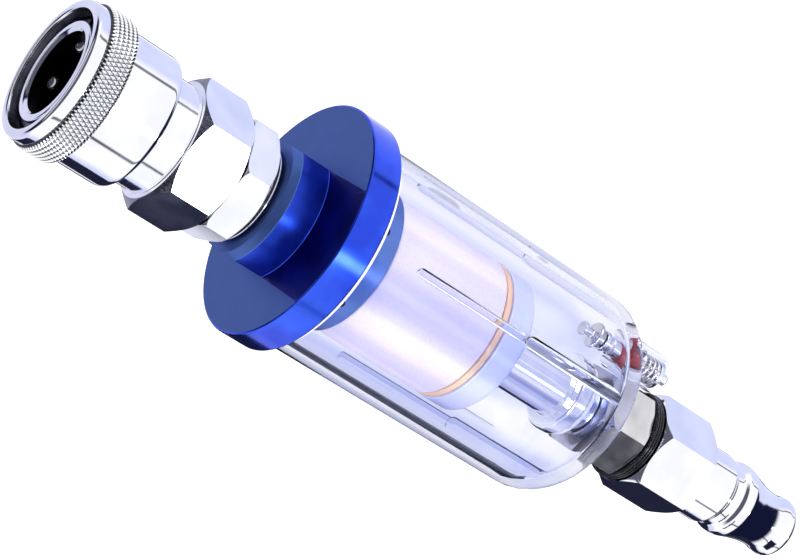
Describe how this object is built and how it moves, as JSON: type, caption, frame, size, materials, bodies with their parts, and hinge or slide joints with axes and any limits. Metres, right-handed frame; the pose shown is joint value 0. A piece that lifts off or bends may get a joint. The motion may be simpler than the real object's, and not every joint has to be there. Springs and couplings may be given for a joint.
{
  "type": "compressed air filter",
  "caption": "In-line compressed air filter: clear bowl with element and drain under a blue head, quick coupler socket on top and plug below.",
  "frame": {"origin": "centre of the coupler socket's mouth, where the tool's plug enters", "axes": "+Z along the filter's axis out of the socket's mouth; +X towards the side of the bowl that has the drain"},
  "size_m": [0.042, 0.042, 0.1659],
  "materials": {
    "chrome": "bright chrome plate over machined steel",
    "spring_steel": "ground spring steel",
    "blue_anodised": "turned aluminium, bright blue anodised",
    "clear_plastic": "clear moulded polycarbonate",
    "black_rubber": "matte black rubber",
    "white_seal": "white flat seal",
    "element_media": "porous sintered filter medium, pale pink",
    "orange_gasket": "pale orange fibre gasket",
    "white_plastic": "translucent white moulded plastic",
    "red_rubber": "red silicone rubber"
  },
  "bodies": {
    "filter": {"socket_body": "chrome", "sleeve_stop_ring": "spring_steel", "socket_seal": "black_rubber", "socket_adapter": "chrome", "adapter_seal": "black_rubber", "head": "blue_anodised", "bowl_seal": "white_seal", "bowl": "clear_plastic", "filter_element": "element_media", "element_gasket": "orange_gasket", "element_cap": "white_plastic", "centre_tube": "chrome", "floor_seal": "white_seal", "bottom_nut": "chrome", "plug_seal": "black_rubber", "plug": "chrome", "sleeve_spring": "spring_steel", "valve_spring": "spring_steel", "drain_spring": "spring_steel"},
    "sleeve": {"coupler_sleeve": "chrome"},
    "valve": {"valve_poppet": "chrome", "valve_seal": "black_rubber"},
    "drain": {"drain_pin": "chrome", "drain_knob": "chrome", "drain_seal": "red_rubber"},
    "ball_1": {"locking_ball_1": "spring_steel"},
    "ball_2": {"locking_ball_2": "spring_steel"},
    "ball_3": {"locking_ball_3": "spring_steel"},
    "ball_4": {"locking_ball_4": "spring_steel"},
    "ball_5": {"locking_ball_5": "spring_steel"},
    "ball_6": {"locking_ball_6": "spring_steel"}
  },
  "joints": [
    {"name": "sleeve_slide", "type": "slide", "parent": "filter", "child": "sleeve", "axis": [0, 0, -1], "range_m": [0, 0.0036], "stiffness_N_per_m": 1500, "springref_m": -0.004, "deforming": ["sleeve_spring"]},
    {"name": "valve_slide", "type": "slide", "parent": "filter", "child": "valve", "axis": [0, 0, -1], "range_m": [0, 0.0035], "stiffness_N_per_m": 800, "springref_m": -0.003, "deforming": ["valve_spring"]},
    {"name": "drain_slide", "type": "slide", "parent": "filter", "child": "drain", "axis": [0, 0, 1], "range_m": [0, 0.002], "stiffness_N_per_m": 500, "springref_m": -0.002, "deforming": ["drain_spring"]},
    {"name": "ball_1_slide", "type": "slide", "parent": "filter", "child": "ball_1", "axis": [0.7193, 0.6947, 0], "range_m": [0, 0.0009]},
    {"name": "ball_2_slide", "type": "slide", "parent": "filter", "child": "ball_2", "axis": [-0.2419, 0.9703, 0], "range_m": [0, 0.0009]},
    {"name": "ball_3_slide", "type": "slide", "parent": "filter", "child": "ball_3", "axis": [-0.9613, 0.2756, 0], "range_m": [0, 0.0009]},
    {"name": "ball_4_slide", "type": "slide", "parent": "filter", "child": "ball_4", "axis": [-0.7193, -0.6947, 0], "range_m": [0, 0.0009]},
    {"name": "ball_5_slide", "type": "slide", "parent": "filter", "child": "ball_5", "axis": [0.2419, -0.9703, 0], "range_m": [0, 0.0009]},
    {"name": "ball_6_slide", "type": "slide", "parent": "filter", "child": "ball_6", "axis": [0.9613, -0.2756, 0], "range_m": [0, 0.0009]}
  ],
  "couplings": [
    {"joint": "ball_1_slide", "follows": "sleeve_slide", "ratio": 0.25},
    {"joint": "ball_2_slide", "follows": "sleeve_slide", "ratio": 0.25},
    {"joint": "ball_3_slide", "follows": "sleeve_slide", "ratio": 0.25},
    {"joint": "ball_4_slide", "follows": "sleeve_slide", "ratio": 0.25},
    {"joint": "ball_5_slide", "follows": "sleeve_slide", "ratio": 0.25},
    {"joint": "ball_6_slide", "follows": "sleeve_slide", "ratio": 0.25}
  ]
}
